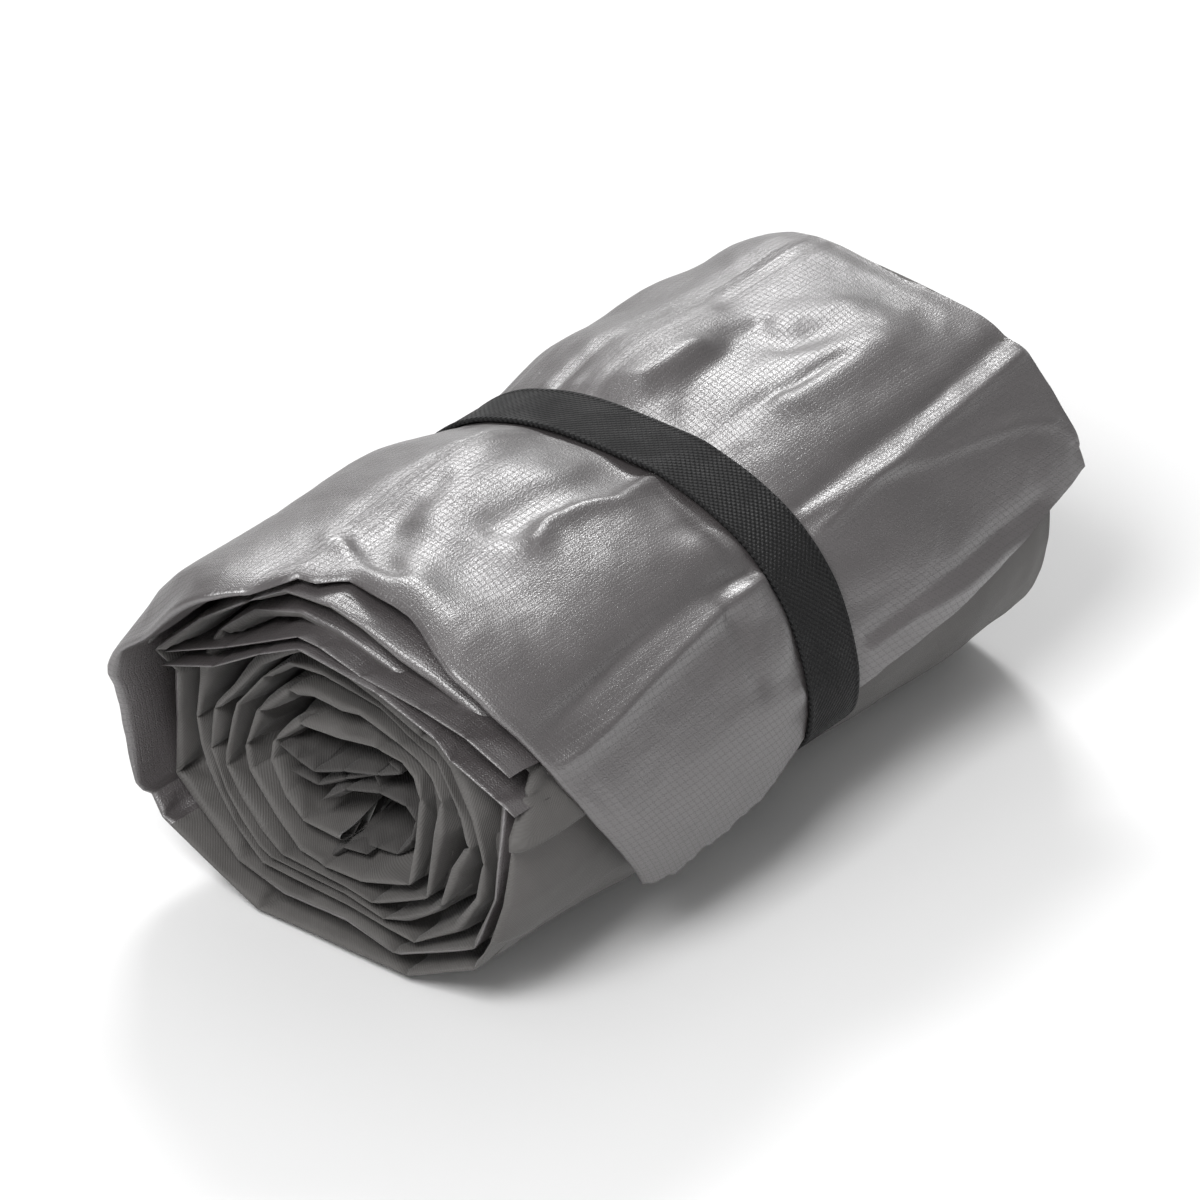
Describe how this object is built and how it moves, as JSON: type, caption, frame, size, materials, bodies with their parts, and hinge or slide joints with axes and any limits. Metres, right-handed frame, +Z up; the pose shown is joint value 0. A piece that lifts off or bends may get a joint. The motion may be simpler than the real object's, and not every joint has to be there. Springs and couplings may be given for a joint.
{
  "type": "rolled inflatable sleeping mat",
  "caption": "Deflated inflatable sleeping mat, folded lengthwise and rolled up with its air valve outside, held by one elastic strap.",
  "frame": {"origin": "under the middle of the rolled mat's box, on the surface that it lies on", "axes": "+X along the roll's axis, from the mat's lengthwise fold at -X to its long edges at +X; +Z up; -Y is the front, where the roll's free end lies, and +Y the back, with the valve"},
  "size_m": [0.3038, 0.1806, 0.1248],
  "materials": {
    "shell_cloth": "grey ripstop polyester with a satin coated face",
    "inner_cloth": "matt grey plain-weave polyester",
    "baffle_film": "thin matt welded film strip",
    "elastic_webbing": "black woven elastic with bound edges",
    "stitch_thread": "black polyester thread",
    "valve_plastic": "moulded dark grey plastic",
    "cap_plastic": "moulded dark plastic",
    "membrane_rubber": "translucent silicone"
  },
  "bodies": {
    "mat": {"bottom_sheet": "shell_cloth", "top_sheet": "inner_cloth", "cross_baffle_01": "baffle_film", "cross_baffle_02": "baffle_film", "cross_baffle_03": "baffle_film", "cross_baffle_04": "baffle_film", "cross_baffle_05": "baffle_film", "cross_baffle_06": "baffle_film", "cross_baffle_07": "baffle_film", "cross_baffle_08": "baffle_film", "cross_baffle_09": "baffle_film", "cross_baffle_10": "baffle_film", "cross_baffle_11": "baffle_film", "cross_baffle_12": "baffle_film", "cross_baffle_13": "baffle_film", "cross_baffle_14": "baffle_film", "elastic_strap": "elastic_webbing", "strap_stitch_1": "stitch_thread", "strap_stitch_2": "stitch_thread", "valve_flange": "valve_plastic"},
    "plug": {"valve_plug": "valve_plastic"},
    "cap": {"inflation_cap": "cap_plastic"},
    "membrane": {"one_way_membrane": "membrane_rubber"}
  },
  "joints": [
    {"name": "plug_hinge", "type": "hinge", "parent": "mat", "child": "plug", "pos_m": [0.10206, 0.08958, 0.06992], "axis": [-0.9997, 0.0173, 0.0184], "range_deg": [0, 160]},
    {"name": "cap_hinge", "type": "hinge", "parent": "plug", "child": "cap", "pos_m": [0.10208, 0.08181, 0.09286], "axis": [0.9997, -0.0173, -0.0184], "range_deg": [0, 150]},
    {"name": "membrane_lift", "type": "slide", "parent": "plug", "child": "membrane", "axis": [-0.0228, -0.9315, -0.3631], "range_m": [0, 0.0008], "stiffness_N_per_m": 20}
  ]
}
